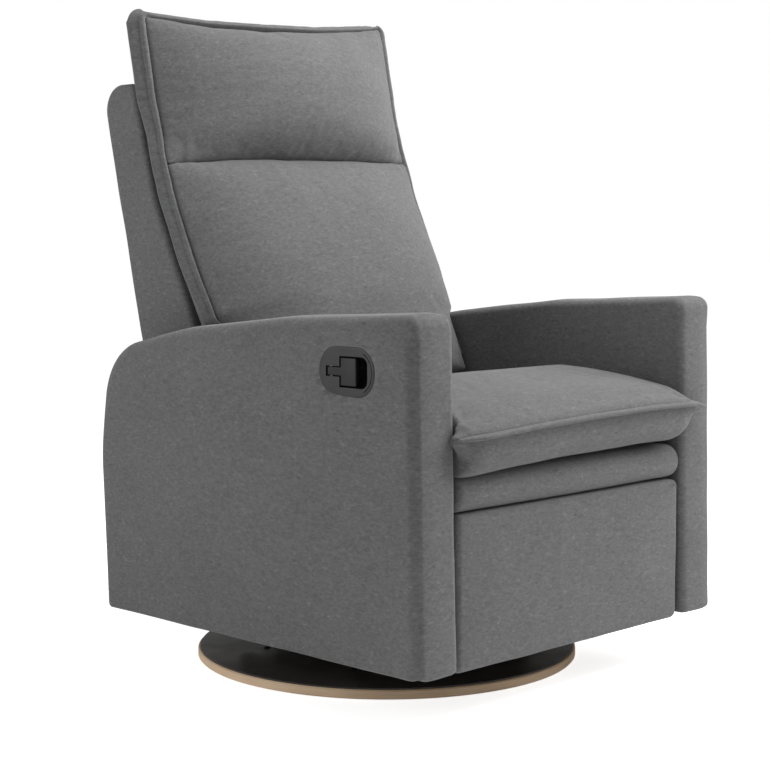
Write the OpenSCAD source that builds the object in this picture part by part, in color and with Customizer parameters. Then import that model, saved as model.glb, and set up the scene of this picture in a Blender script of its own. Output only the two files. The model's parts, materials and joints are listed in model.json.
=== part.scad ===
// Swivel glider recliner for a nursery.
// A round base carries a swivel bearing, a frame with swing links, a carriage with the arms and the
// recliner mechanism, a sliding seat, a reclining back with a head pillow, and a fold-out footrest.
// Millimetres. The origin is on the floor on the swivel axis. -Y is the front, -X the sitter's right.

/* [Base] */
// Diameter of the round wooden base
base_d = 652; // [600:1:700]
// Thickness of the wooden base disc
base_t = 14.5; // [12:0.5:18]
// Thickness of the felt sheet under the base
felt_t = 2; // [1:0.5:3]
// Thickness of the dark cover plate on the base
cover_t = 2.5; // [2:0.5:3]
// Radius of the central swivel bolt
swivel_bolt_r = 8; // [6:0.5:10]
// Number of balls in the swivel bearing
ball_count = 24; // [12:1:36]

/* [Glide] */
// Distance between the two pivots of a swing link
swing_link_l = 100; // [95:1:105]
// Height of the upper swing pivots
swing_pivot_z = 215; // [210:1:220]
// Distance of the front and rear swing pivots from the swivel axis
swing_pivot_y = 110; // [95:1:120]
// Radius of the swing pins
swing_pin_r = 6; // [5:0.5:7]

/* [Arms] */
// Overall width over the arms
chair_w = 730; // [726:1:734]
// Thickness of one upholstered arm
arm_t = 86; // [85:1:87]
// Height of the underside of the arms
arm_bottom_z = 88; // [86:1:92]
// Thickness of the padding over the arm frame
pad_t = 16; // [15:0.5:17]

/* [Seat] */
// Forward travel of the seat in full recline
seat_travel = 30; // [20:1:30]
// Half width of the seat cushion between the arms
seat_half_w = 273; // [268:1:276]
// Half width of the cushion's front edge, which lies over the arm fronts
seat_ear_half_w = 318; // [300:1:320]
// Number of sinuous springs
seat_springs_n = 4; // [3:1:5]

/* [Back] */
// Recline pivot, distance behind the swivel axis
back_pivot_y = 200; // [198:1:202]
// Recline pivot, height above the floor
back_pivot_z = 360; // [358:1:362]
// Half width of the back shell, which passes between the arms
shell_half_w = 266; // [260:1:268]
// Half width of the back cushion above the arms
cushion_half_w = 292; // [285:1:298]
// Half width of the head pillow
pillow_half_w = 300; // [290:1:304]
// Radius of the recline pins
back_pin_r = 6; // [5:0.5:7]

/* [Footrest] */
// Footrest pivot, distance in front of the swivel axis
foot_pivot_y = -345; // [-348:1:-342]
// Footrest pivot, height above the floor
foot_pivot_z = 285; // [282:1:287]
// Distance between the pivots of each footrest link
foot_link_l = 150; // [140:1:155]
// Half width of the footrest
foot_half_w = 269; // [260:1:270]
// Radius of the footrest pins
foot_pin_r = 5; // [4:0.5:6]

/* [Handle] */
// Centre of the handle cup along the arm
cup_y = -280; // [-290:1:-270]
// Height of the centre of the handle cup
cup_z = 524; // [518:1:526]
// Length of the handle cup's oval flange
cup_flange_w = 119; // [114:1:122]
// Height of the handle cup's oval flange
cup_flange_h = 78; // [74:1:80]

/* [Hidden] */
$fn = 64;

fabric_colour = "#626264";
wood_colour = "#b39c80";
frame_wood_colour = "#c8a878";
dark_steel_colour = "#2b2a2a";
zinc_colour = "#a8a9ab";
plastic_colour = "#202020";
nylon_colour = "#d9d4c4";
felt_colour = "#4a4a4a";

// Radial clearance of a pin in a bore that turns on it
run_gap = 0.05;
// Clearance of the rear lower swing pins, where the linkage is left open
open_gap = 0.3;

// Wider part of a pin's head, shoulder or bolt head, over its radius
head_rim = 3;

// Heights of the base and the swivel bearing, from the floor up
felt_inset = 8;
cover_inset = 4;
base_edge = 2;
disc_top_z = felt_t + base_t;
cover_top_z = disc_top_z + cover_t;
bearing_plate_t = 3;
ball_r = 4;
ball_gap = 0.3;
ball_ring_r = 130;
ball_z = cover_top_z + bearing_plate_t + ball_gap + ball_r;
upper_plate_z = ball_z + ball_r + ball_gap;
glider_z = upper_plate_z + bearing_plate_t;
bearing_half_w = 145;

// Swing frame: bars lie on the upper bearing plate, plates stand at their ends
bar_w = 20;
glider_half_w = 202.5;
swing_plate_t = 4;
swing_bar_half_l = 150;
swing_lower_z = swing_pivot_z - swing_link_l;
link_gap = 1;
swing_link_t = 5;
swing_link_w = 26;
swing_link_x = glider_half_w + swing_plate_t + link_gap;
glide_rail_x = swing_link_x + swing_link_t + 6;
glide_rail_t = 5;
glide_rail_h = 30;

// Carriage beams
beam_z = 100;
beam_h = 40;
beam_depth = 34;
front_beam_y = -317;
rear_beam_y = 233;

// Arms
arm_outer_x = chair_w / 2;
arm_inner_x = arm_outer_x - arm_t;
// Room between the padding and the boards inside it
pad_gap = 1;
frame_inner_x = arm_inner_x + pad_t + pad_gap;
frame_outer_x = arm_outer_x - pad_t - pad_gap;
arm_panel_t = 18;
arm_edge_r = 34;
arm_front_corner_r = 24;
arm_rear_corner_r = 110;
arm_layers = 5;
// Posts and top board inside an arm, as ranges along the arm and up it
arm_front_post_y = [-420, -355];
arm_rear_post_y = [240, 330];
arm_post_z = [100, 620];
arm_board_t = 18;
// Opening in the padding's inner side, below the seat
pad_open_z = 300;
pad_open_front_y = -376;
pad_open_rear_y = 268;
// Opening in the padding's underside
pad_under_y = [-400, 290];
pad_under_z = 200;

// Recliner mechanism
mech_t = 4;
mech_rail_w = 21.5;
mech_outer_x = frame_inner_x - mech_rail_w;
mech_inner_x = mech_outer_x - mech_t;
mech_bolt_r = 4;
mech_bolt_z = 255;
mech_bolt_end_x = frame_inner_x - 2;
mech_bolt_ys = [-300, -130, 40, 140];
seat_rail_z = 318;
seat_frame_z = 322.3;
seat_frame_h = 23;
seat_frame_half_w = 262;
seat_side_rail_w = 28;
seat_front_y = -300;
seat_rear_y = 110;
seat_depth = 600;

// Footrest links lie side by side, each with a gap to the next
foot_link_t = 4;
foot_link_w = 25;
foot_gap = 3;
shaft_gap = 1.5;
lower_link_x = mech_inner_x - 4.5;
upper_link_x = lower_link_x - foot_link_t - foot_gap;
foot_bracket_x = upper_link_x - foot_link_t - foot_gap;
foot_board_y = -384;
foot_board_t = 12;
foot_front_y = -408;
foot_top_z = 310;
foot_bottom_z = 88;

// Back
stile_x = 214;
stile_t = 22;
bracket_x = stile_x + stile_t + 2;
bracket_t = 4;
shell_wall = 12;
shell_hole_r = 14;

// Handle
cup_flange_t = 3.5;
cup_face_x = arm_outer_x + 3.5;
cup_body_w = 104;
cup_body_h = 60;
cup_depth = 33;
cup_wall = 2.5;
cup_gap = 0.4;
cavity_front_u = -43.5;
cavity_rear_u = 14.5;
cavity_h = 46;
cavity_r = 12;
tab_slot_w = 15.5;
tab_slot_rear_u = 43;
tab_slot_depth = 15;
lever_pivot_u = 36;
lever_t = 5;
paddle_front_u = -18.5;
paddle_rear_u = 13;
paddle_h = 41;
tab_w = 12.5;
lever_barrel_r = 5;
lever_pin_r = 2;
lever_axis_x = cup_face_x - 1 - lever_barrel_r;

// Points along an arc in the side view, from angle a0 to a1
function arc(c, r, a0, a1, n) =
    [for (i = [0:n]) c + r * [cos(a0 + (a1 - a0) * i / n), sin(a0 + (a1 - a0) * i / n)]];

// Side outline of an arm, as (y, z): leaning front, sloping top and a large rear corner
arm_outline = concat(
    [[-420, arm_bottom_z]],
    arc([-408 + arm_front_corner_r, 611 - arm_front_corner_r], arm_front_corner_r, 180, 90, 8),
    [[-128, 597], [0, 583], [112, 571]],
    arc([205, 440], arm_rear_corner_r, 90, 0, 12),
    [[326, 350], [320, 200], [312, arm_bottom_z]]);

// Side outline of the upholstered back shell
shell_outline = concat(
    [[262, 292], [327, 551]],
    arc([394, 949], 29, -13.5, 90, 8),
    [[350, 978], [333, 965], [281, 782], [199, 612], [165, 540], [150, 450], [150, 312]]);

// Side outline of the seat cushion at its middle
seat_outline = [[120, 358], [-295, 358], [-300, 379], [-395, 379], [-436, 404], [-455, 426],
    [-455, 438], [-420, 462], [-365, 490], [-285, 506], [-180, 505], [-60, 489], [120, 452]];

// Side outline of the back cushion, from the seat up to the sewn seam
back_cushion_outline = [[146, 464], [161, 541], [196, 614], [278, 784], [293, 842], [288, 852],
    [240, 852], [190, 825], [140, 765], [92, 688], [52, 610], [26, 545], [24, 500], [60, 480]];

// Side outline of the head pillow, above the seam
pillow_outline = [[292, 856], [330, 966], [346, 981], [368, 1010], [366, 1060], [340, 1092],
    [308, 1102], [268, 1088], [222, 1050], [200, 1000], [196, 940], [214, 886], [244, 856]];

// Side outline of the front roll
roll_outline = concat(
    [[-360, 319], [-392, 319]],
    arc([-391, 346], 27, -90, -270, 12),
    [[-360, 373]]);

// Side outline of the mechanism plate, from the footrest pivot to the recline pivot
mech_outline = [[-366, 262], [-366, 303], [-340, 318], [130, 318], [175, 388], [226, 388],
    [226, 330], [150, 232], [-320, 232]];

// Mirrored copies for the left and the right side
module both_sides() {
    for (side = [0, 1]) mirror([side, 0, 0]) children();
}

// Extrudes a side outline, drawn as (y, z), from x0 to x1
module slab_x(x0, x1) {
    translate([x0, 0, 0]) rotate([90, 0, 90]) linear_extrude(x1 - x0) children();
}

// Round bar along X
module pin_x(x0, x1, r, y, z) {
    translate([x0, y, z]) rotate([0, 90, 0]) cylinder(r = r, h = x1 - x0);
}

// Box given by its lowest and highest corners
module block(low, high) {
    translate(low) cube(high - low);
}

// Tube swept along a list of points, with flat ends; the side direction must not meet the route
module tube(points, r, side, sides = 10) {
    last = len(points) - 1;
    rings = [for (i = [0:last])
        let (run = points[min(i + 1, last)] - points[max(i - 1, 0)],
            u = cross(run, side) / norm(cross(run, side)),
            v = cross(run, u) / norm(cross(run, u)))
        for (k = [0:sides - 1]) points[i] + r * (cos(360 * k / sides) * u + sin(360 * k / sides) * v)];
    walls = [for (i = [0:last - 1]) for (k = [0:sides - 1])
        [i * sides + k, i * sides + (k + 1) % sides, (i + 1) * sides + (k + 1) % sides,
            (i + 1) * sides + k]];
    ends = [[for (k = [0:sides - 1]) sides - 1 - k], [for (k = [0:sides - 1]) last * sides + k]];
    polyhedron(rings, concat(walls, ends));
}

// Flat link drawn in the side view: a bar with round ends and a bore at each pivot
module link_outline(p0, p1, w, bore0, bore1) {
    d = p1 - p0;
    translate(p0) rotate(atan2(d[1], d[0])) difference() {
        union() {
            translate([0, -w / 2]) square([norm(d), w]);
            circle(d = w);
            translate([norm(d), 0]) circle(d = w);
        }
        circle(r = bore0);
        translate([norm(d), 0]) circle(r = bore1);
    }
}

// ---- Base ----

module floor_felt() {
    color(felt_colour) cylinder(d = base_d - 2 * felt_inset, h = felt_t);
}

module base_disc() {
    color(wood_colour) translate([0, 0, felt_t]) rotate_extrude() polygon([
        [0, 0], [base_d / 2 - base_edge, 0], [base_d / 2, base_edge], [base_d / 2, base_t - base_edge],
        [base_d / 2 - base_edge, base_t], [0, base_t]]);
}

module base_cover_plate() {
    color(dark_steel_colour) translate([0, 0, disc_top_z])
        cylinder(d = base_d - 2 * cover_inset, h = cover_t);
}

module base_screws() {
    screws_n = 6;
    screw_ring_r = 212;
    head_r = 6;
    head_top_r = 4;
    head_h = 2;
    color(dark_steel_colour) for (i = [0:screws_n - 1]) rotate((i + 0.5) * 360 / screws_n)
        translate([screw_ring_r, 0, cover_top_z]) cylinder(r1 = head_r, r2 = head_top_r, h = head_h);
}

module lower_bearing_plate() {
    color(zinc_colour) block([-bearing_half_w, -bearing_half_w, cover_top_z],
        [bearing_half_w, bearing_half_w, cover_top_z + bearing_plate_t]);
}

module bearing_cage() {
    cage_half_h = 1.5;
    cage_half_w = 8;
    pocket_gap = 0.2;
    color(nylon_colour) translate([0, 0, ball_z - cage_half_h]) difference() {
        cylinder(r = ball_ring_r + cage_half_w, h = 2 * cage_half_h);
        translate([0, 0, -1]) cylinder(r = ball_ring_r - cage_half_w, h = 2 * cage_half_h + 2);
        for (i = [0:ball_count - 1]) rotate(i * 360 / ball_count)
            translate([ball_ring_r, 0, -1]) cylinder(r = ball_r + pocket_gap, h = 2 * cage_half_h + 2);
    }
}

module bearing_balls() {
    color(zinc_colour) for (i = [0:ball_count - 1]) rotate(i * 360 / ball_count)
        translate([ball_ring_r, 0, ball_z]) sphere(r = ball_r);
}

module swivel_bolt() {
    foot_z = cover_top_z + bearing_plate_t;
    washer_z = glider_z + 0.5;
    washer_r = 18;
    washer_t = 2;
    nut_r = 14;
    nut_h = 8;
    nut_sides = 6;
    bolt_end = 3;
    color(zinc_colour) union() {
        translate([0, 0, foot_z])
            cylinder(r = swivel_bolt_r, h = washer_z + washer_t + nut_h + bolt_end - foot_z);
        translate([0, 0, washer_z]) cylinder(r = washer_r, h = washer_t);
        translate([0, 0, washer_z + washer_t]) cylinder(r = nut_r, h = nut_h, $fn = nut_sides);
    }
}

// ---- Swivel frame ----

module upper_bearing_plate() {
    color(zinc_colour) difference() {
        block([-bearing_half_w, -bearing_half_w, upper_plate_z],
            [bearing_half_w, bearing_half_w, glider_z]);
        translate([0, 0, upper_plate_z - 1])
            cylinder(r = swivel_bolt_r + run_gap, h = bearing_plate_t + 2);
    }
}

module glider_cross_bars() {
    color(dark_steel_colour) for (side = [-1, 1]) translate([0, side * swing_pivot_y, 0])
        block([-glider_half_w + bar_w, -bar_w / 2, glider_z],
            [glider_half_w - bar_w, bar_w / 2, glider_z + bar_w]);
}

module glider_side_bars() {
    color(dark_steel_colour) both_sides()
        block([glider_half_w - bar_w, -swing_bar_half_l, glider_z],
            [glider_half_w, swing_bar_half_l, glider_z + bar_w]);
}

module swing_plates() {
    top_half_l = swing_pivot_y + 20;
    top_z = swing_pivot_z + 18;
    color(dark_steel_colour) both_sides() difference() {
        slab_x(glider_half_w, glider_half_w + swing_plate_t) polygon([
            [-swing_bar_half_l, glider_z], [swing_bar_half_l, glider_z],
            [top_half_l, top_z], [-top_half_l, top_z]]);
        for (side = [-1, 1])
            pin_x(glider_half_w - 1, glider_half_w + swing_plate_t + 1, swing_pin_r,
                side * swing_pivot_y, swing_pivot_z);
    }
}

module upper_pivot_pins() {
    head_x = swing_link_x + swing_link_t + link_gap;
    color(zinc_colour) both_sides() for (side = [-1, 1]) {
        pin_x(glider_half_w, head_x, swing_pin_r, side * swing_pivot_y, swing_pivot_z);
        pin_x(head_x, head_x + head_rim, swing_pin_r + head_rim, side * swing_pivot_y, swing_pivot_z);
    }
}

// ---- Swing links ----

// Left and right link of one pair; side is -1 for the front pair and 1 for the rear pair
module swing_link_pair(side, lower_gap) {
    color(dark_steel_colour) both_sides() slab_x(swing_link_x, swing_link_x + swing_link_t)
        link_outline([side * swing_pivot_y, swing_pivot_z], [side * swing_pivot_y, swing_lower_z],
            swing_link_w, swing_pin_r + run_gap, swing_pin_r + lower_gap);
}

module front_swing_links() {
    swing_link_pair(-1, run_gap);
}

module rear_swing_links() {
    swing_link_pair(1, open_gap);
}

// ---- Carriage ----

module glide_rails() {
    color(dark_steel_colour) both_sides()
        block([glide_rail_x, front_beam_y + beam_depth, swing_lower_z - glide_rail_h / 2],
            [glide_rail_x + glide_rail_t, rear_beam_y, swing_lower_z + glide_rail_h / 2]);
}

module lower_pivot_pins() {
    tip_x = swing_link_x - 0.5;
    shoulder_x = swing_link_x + swing_link_t + link_gap;
    color(zinc_colour) both_sides() for (side = [-1, 1]) {
        pin_x(tip_x, shoulder_x, swing_pin_r, side * swing_pivot_y, swing_lower_z);
        pin_x(shoulder_x, glide_rail_x, swing_pin_r + head_rim, side * swing_pivot_y, swing_lower_z);
    }
}

module cross_beam(y) {
    color(frame_wood_colour) block([-frame_inner_x, y, beam_z],
        [frame_inner_x, y + beam_depth, beam_z + beam_h]);
}

module front_cross_beam() {
    cross_beam(front_beam_y);
}

module rear_cross_beam() {
    cross_beam(rear_beam_y);
}

// Arm outline pulled in by the padding
module arm_core(extra) {
    offset(delta = -pad_t - pad_gap - extra) polygon(arm_outline);
}

// Plywood panel inside an arm
module arm_panel() {
    slab_x(frame_inner_x, frame_inner_x + arm_panel_t) arm_core(0);
}

module arm_panel_left() {
    color(frame_wood_colour) arm_panel();
}

module arm_panel_right() {
    cable_hole_r = 5;
    color(frame_wood_colour) mirror([1, 0, 0]) difference() {
        arm_panel();
        pin_x(frame_inner_x - 1, frame_inner_x + arm_panel_t + 1, cable_hole_r,
            cable_hole_point[1], cable_hole_point[2]);
    }
}

// Part of the arm's core between the plywood panel and the outer padding, cut to a box in (y, z)
module arm_core_piece(y, z) {
    both_sides() slab_x(frame_inner_x + arm_panel_t, frame_outer_x) intersection() {
        arm_core(0);
        translate([y[0], z[0]]) square([y[1] - y[0], z[1] - z[0]]);
    }
}

module arm_front_posts() {
    color(frame_wood_colour) arm_core_piece(arm_front_post_y, arm_post_z);
}

module arm_rear_posts() {
    color(frame_wood_colour) arm_core_piece(arm_rear_post_y, arm_post_z);
}

module arm_top_boards() {
    board_y = [arm_front_post_y[1], arm_rear_post_y[0]];
    board_low_z = 400;
    color(frame_wood_colour) both_sides()
        slab_x(frame_inner_x + arm_panel_t, frame_outer_x) intersection() {
            difference() {
                arm_core(0);
                arm_core(arm_board_t);
            }
            translate([board_y[0], board_low_z])
                square([board_y[1] - board_y[0], arm_post_z[1] - board_low_z]);
        }
}

// Upholstery of one arm: rounded outer edges, hollow for the frame, open below the seat on the inside
module arm_pad() {
    layer_t = 0.1;
    difference() {
        hull() for (i = [0:arm_layers]) {
            angle = 90 * i / arm_layers;
            inset = arm_edge_r * (1 - cos(angle));
            x = arm_outer_x - arm_edge_r * (1 - sin(angle));
            slab_x(i == 0 ? arm_inner_x : x - layer_t, x) offset(delta = -inset) polygon(arm_outline);
        }
        slab_x(frame_inner_x - 1, frame_outer_x + 1) union() {
            offset(delta = -pad_t) polygon(arm_outline);
            translate([pad_under_y[0], 0]) square([pad_under_y[1] - pad_under_y[0], pad_under_z]);
        }
        block([arm_inner_x - 1, pad_open_front_y, 0], [frame_inner_x, pad_open_rear_y, pad_open_z]);
    }
}

module arm_pad_left() {
    color(fabric_colour) arm_pad();
}

module arm_pad_right() {
    color(fabric_colour) mirror([1, 0, 0]) difference() {
        arm_pad();
        slab_x(frame_outer_x - 1, arm_outer_x + 1) cup_body_outline(cup_gap);
    }
}

module side_rails() {
    rail_y = [-350, 236];
    rail_z = [234, 276];
    color(frame_wood_colour) both_sides() difference() {
        block([mech_outer_x, rail_y[0], rail_z[0]], [frame_inner_x, rail_y[1], rail_z[1]]);
        mech_bolt_row(mech_outer_x - 1, mech_bolt_end_x, mech_bolt_r);
    }
}

// One round bar along X at each bolt of the mechanism plate
module mech_bolt_row(x0, x1, r) {
    for (y = mech_bolt_ys) pin_x(x0, x1, r, y, mech_bolt_z);
}

// Steel side plate with the pivots and the ledge that the seat slides on
module mechanism_plate() {
    ledge_w = 15;
    difference() {
        slab_x(mech_inner_x, mech_outer_x) polygon(mech_outline);
        pin_x(mech_inner_x - 1, mech_outer_x + 1, foot_pin_r, foot_pivot_y, foot_pivot_z);
        pin_x(mech_inner_x - 1, mech_outer_x + 1, back_pin_r, back_pivot_y, back_pivot_z);
        mech_bolt_row(mech_inner_x - 1, mech_outer_x + 1, mech_bolt_r);
    }
    block([mech_inner_x - ledge_w, seat_front_y - seat_travel, seat_rail_z - mech_t],
        [mech_inner_x, seat_rear_y, seat_rail_z]);
}

module mechanism_plate_left() {
    color(dark_steel_colour) mechanism_plate();
}

module mechanism_plate_right() {
    color(dark_steel_colour) mirror([1, 0, 0]) mechanism_plate();
}

module mechanism_bolts() {
    head_h = 2.5;
    color(zinc_colour) both_sides() {
        mech_bolt_row(mech_inner_x - head_h, mech_inner_x, mech_bolt_r + head_rim);
        mech_bolt_row(mech_inner_x, mech_bolt_end_x, mech_bolt_r);
    }
}

module front_rail() {
    rail_y = [-358, -337];
    rail_z = [306, 372];
    color(frame_wood_colour)
        block([-mech_inner_x, rail_y[0], rail_z[0]], [mech_inner_x, rail_y[1], rail_z[1]]);
}

module front_roll() {
    end_r = 12;
    half_w = foot_half_w - 1;
    color(fabric_colour) hull() {
        slab_x(-half_w + end_r, half_w - end_r) polygon(roll_outline);
        slab_x(-half_w, half_w) offset(delta = -end_r) polygon(roll_outline);
    }
}

module rear_panel() {
    panel_y = [272, 288];
    panel_z = [92, 305];
    color(fabric_colour)
        block([-foot_half_w, panel_y[0], panel_z[0]], [foot_half_w, panel_y[1], panel_z[1]]);
}

module footrest_pivot_pins() {
    color(zinc_colour) both_sides()
        pin_x(lower_link_x - foot_link_t - 1, mech_outer_x, foot_pin_r, foot_pivot_y, foot_pivot_z);
}

module back_pivot_pins() {
    color(zinc_colour) both_sides()
        pin_x(bracket_x - 2, mech_outer_x, back_pin_r, back_pivot_y, back_pivot_z);
}

// ---- Handle ----

// Outline of the cup's body in the side view, grown by extra
module cup_body_outline(extra) {
    w = cup_body_w + 2 * extra;
    h = cup_body_h + 2 * extra;
    translate([cup_y, cup_z]) union() {
        square([w - h, h], center = true);
        for (side = [-1, 1]) translate([side * (w - h) / 2, 0]) circle(d = h);
    }
}

// Finger cavity: a rectangle with round front corners
module cavity_outline() {
    translate([cup_y, cup_z]) union() {
        translate([cavity_front_u + cavity_r, -cavity_h / 2])
            square([cavity_rear_u - cavity_front_u - cavity_r, cavity_h]);
        translate([cavity_front_u, -cavity_h / 2 + cavity_r]) square([cavity_r, cavity_h - 2 * cavity_r]);
        for (side = [-1, 1]) translate([cavity_front_u + cavity_r, side * (cavity_h / 2 - cavity_r)])
            circle(r = cavity_r);
    }
}

// Oval flange of the cup: a rectangle with half-round ends
module flange_outline() {
    translate([cup_y, cup_z]) union() {
        square([cup_flange_w - cup_flange_h, cup_flange_h], center = true);
        for (side = [-1, 1]) translate([side * (cup_flange_w - cup_flange_h) / 2, 0])
            circle(d = cup_flange_h);
    }
}

module handle_cup() {
    color(plastic_colour) mirror([1, 0, 0]) difference() {
        union() {
            slab_x(cup_face_x - cup_flange_t, cup_face_x) flange_outline();
            slab_x(cup_face_x - cup_depth, cup_face_x - 1) cup_body_outline(0);
        }
        slab_x(cup_face_x - cup_depth + cup_wall, cup_face_x + 1) cavity_outline();
        slab_x(cup_face_x - tab_slot_depth, cup_face_x + 1)
            translate([cup_y + cavity_rear_u - 1, cup_z - tab_slot_w / 2])
                square([tab_slot_rear_u - cavity_rear_u + 1, tab_slot_w]);
        lever_pin(lever_axis_x);
    }
}

// Pin that the lever turns on, held by the cup above and below the tab slot
module lever_pin(x) {
    seat_h = 4;
    translate([x, cup_y + lever_pivot_u, cup_z - tab_slot_w / 2 - seat_h])
        cylinder(r = lever_pin_r, h = tab_slot_w + 2 * seat_h);
}

module handle_pin() {
    color(zinc_colour) lever_pin(-lever_axis_x);
}

module handle_lever() {
    face_x = cup_face_x - 1;
    color(plastic_colour) mirror([1, 0, 0]) difference() {
        union() {
            slab_x(face_x - lever_t, face_x) translate([cup_y, cup_z]) union() {
                translate([paddle_front_u, -paddle_h / 2])
                    square([paddle_rear_u - paddle_front_u, paddle_h]);
                translate([paddle_rear_u - 1, -tab_w / 2])
                    square([lever_pivot_u - paddle_rear_u + 1, tab_w]);
            }
            translate([lever_axis_x, cup_y + lever_pivot_u, cup_z - tab_w / 2])
                cylinder(r = lever_barrel_r, h = tab_w);
        }
        translate([lever_axis_x, cup_y + lever_pivot_u, cup_z - tab_w])
            cylinder(r = lever_pin_r + run_gap, h = 2 * tab_w);
    }
}

// Route of the release cable from the back of the cup to the mechanism plate
cable_r = 3;
cable_points = [[-335.5, -262, 510], [-331, -262, 509], [-328, -261, 500], [-326, -258, 440],
    [-326, -246, 370], [-325, -236, 315], [-322, -232, 300], [-318, -230, 290], [-313, -230, 287],
    [-300, -230, 287], [-275, -230, 287]];
// Point of the route inside the arm panel's hole
cable_hole_point = cable_points[9];

module release_cable() {
    tube_side = [0, 1, 0.2];
    color(plastic_colour) tube(cable_points, cable_r, tube_side);
}

// ---- Seat ----

module seat_side_rails() {
    color(frame_wood_colour) both_sides()
        block([seat_frame_half_w - seat_side_rail_w, seat_front_y, seat_frame_z],
            [seat_frame_half_w, seat_rear_y, seat_frame_z + seat_frame_h]);
}

module seat_cross_rails() {
    rail_depth = 25;
    half_w = seat_frame_half_w - seat_side_rail_w;
    color(frame_wood_colour) for (y = [seat_front_y, seat_rear_y - rail_depth])
        block([-half_w, y, seat_frame_z], [half_w, y + rail_depth, seat_frame_z + seat_frame_h]);
}

// One sinuous spring: straight runs across, joined by half rings on alternate sides
module sinuous_spring(x) {
    wire_r = 1.8;
    bend_r = 16;
    half_run = 12;
    end_room = 30;
    runs = floor((seat_rear_y - seat_front_y - end_room) / (2 * bend_r));
    y0 = (seat_front_y + seat_rear_y) / 2 - (runs - 1) * bend_r;
    z = seat_frame_z + seat_frame_h + wire_r;
    for (i = [0:runs - 1]) translate([x, y0 + 2 * bend_r * i, z]) {
        rotate([0, 90, 0]) translate([0, 0, -half_run]) cylinder(r = wire_r, h = 2 * half_run);
        side = i % 2 == 0 ? 1 : -1;
        if (i < runs - 1) translate([side * half_run, bend_r, 0]) rotate([0, 0, side > 0 ? -90 : 90])
            rotate_extrude(angle = 180) translate([bend_r, 0]) circle(r = wire_r);
    }
}

module seat_springs() {
    outer_x = seat_frame_half_w - 75;
    spread = 2 * outer_x / (seat_springs_n - 1);
    color(zinc_colour) for (i = [0:seat_springs_n - 1]) sinuous_spring(i * spread - outer_x);
}

// Crowned seat cushion with a thin front edge that spreads over the arm fronts
module seat_cushion() {
    ear_y = [-455, -417];
    ear_z = [424, 438];
    crown_half_w = 170;
    side_top_z = 452;
    // Step in the underside, over the front roll and its rail
    step_y = [-396, -299];
    step_z = 379;
    color(fabric_colour) union() {
        difference() {
            hull() {
                slab_x(-crown_half_w, crown_half_w) polygon(seat_outline);
                slab_x(-seat_half_w, seat_half_w) intersection() {
                    polygon(seat_outline);
                    translate([ear_y[0], 0]) square([seat_depth, side_top_z]);
                }
            }
            block([-seat_half_w - 1, step_y[0], 0], [seat_half_w + 1, step_y[1], step_z]);
        }
        block([-seat_ear_half_w, ear_y[0], ear_z[0]], [seat_ear_half_w, ear_y[1], ear_z[1]]);
    }
}

// ---- Back ----

// Side outline of the back's wooden stile and rails, leaning with the shell
stile_line = [[205, 330], [247, 330], [393, 930], [351, 930]];

module stile_outline() {
    polygon(stile_line);
}

module back_stiles() {
    color(frame_wood_colour) both_sides() slab_x(stile_x, stile_x + stile_t) stile_outline();
}

module back_rails() {
    rail_h = 60;
    rail_low_zs = [400, 620, 865];
    reach_y = 500;
    color(frame_wood_colour) for (z = rail_low_zs) slab_x(-stile_x, stile_x) intersection() {
        stile_outline();
        translate([0, z]) square([reach_y, rail_h]);
    }
}

module back_brackets() {
    arm_line = [[182, 352], [218, 344], [262, 500], [228, 500]];
    eye_r = 20;
    bolt_r = 5;
    bolt_y = 243;
    bolt_z = 480;
    color(dark_steel_colour) both_sides() difference() {
        union() {
            slab_x(bracket_x, bracket_x + bracket_t)
                polygon(arm_line);
            pin_x(bracket_x, bracket_x + bracket_t, eye_r, back_pivot_y, back_pivot_z);
            pin_x(stile_x + stile_t, bracket_x, bolt_r, bolt_y, bolt_z);
        }
        pin_x(bracket_x - 3, bracket_x + bracket_t + 1, back_pin_r + run_gap,
            back_pivot_y, back_pivot_z);
    }
}

module back_shell() {
    color(fabric_colour) difference() {
        slab_x(-shell_half_w, shell_half_w) polygon(shell_outline);
        slab_x(-shell_half_w + shell_wall, shell_half_w - shell_wall)
            offset(delta = -shell_wall) polygon(shell_outline);
        pin_x(-shell_half_w - 1, shell_half_w + 1, shell_hole_r, back_pivot_y, back_pivot_z);
    }
}

// Back cushion: narrower between the arms, wider above them, crowned to the front
module back_cushion() {
    arm_clear_z = 600;
    reach_y = 400;
    low_z = 400;
    high_z = 900;
    color(fabric_colour) union() {
        intersection() {
            slab_x(-seat_half_w, seat_half_w) polygon(back_cushion_outline);
            block([-seat_half_w, 0, low_z], [seat_half_w, reach_y, arm_clear_z + 1]);
        }
        intersection() {
            slab_x(-cushion_half_w, cushion_half_w) polygon(back_cushion_outline);
            block([-cushion_half_w, 0, arm_clear_z], [cushion_half_w, reach_y, high_z]);
        }
    }
}

module head_pillow() {
    color(fabric_colour) slab_x(-pillow_half_w, pillow_half_w) polygon(pillow_outline);
}

// ---- Footrest ----

knee = [foot_pivot_y, foot_pivot_z - foot_link_l];
foot_pivot = [foot_pivot_y, foot_pivot_z];

module footrest_lower_links() {
    color(dark_steel_colour) both_sides() slab_x(lower_link_x - foot_link_t, lower_link_x)
        link_outline(foot_pivot, knee, foot_link_w, foot_pin_r + run_gap, foot_pin_r);
}

// Shaft through the knees of both links, with thinner ends
module footrest_knee_shaft() {
    thick_half_l = upper_link_x - foot_link_t - shaft_gap;
    color(zinc_colour) union() {
        pin_x(-lower_link_x, lower_link_x, foot_pin_r, knee[0], knee[1]);
        pin_x(-thick_half_l, thick_half_l, foot_pin_r + head_rim, knee[0], knee[1]);
    }
}

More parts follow.
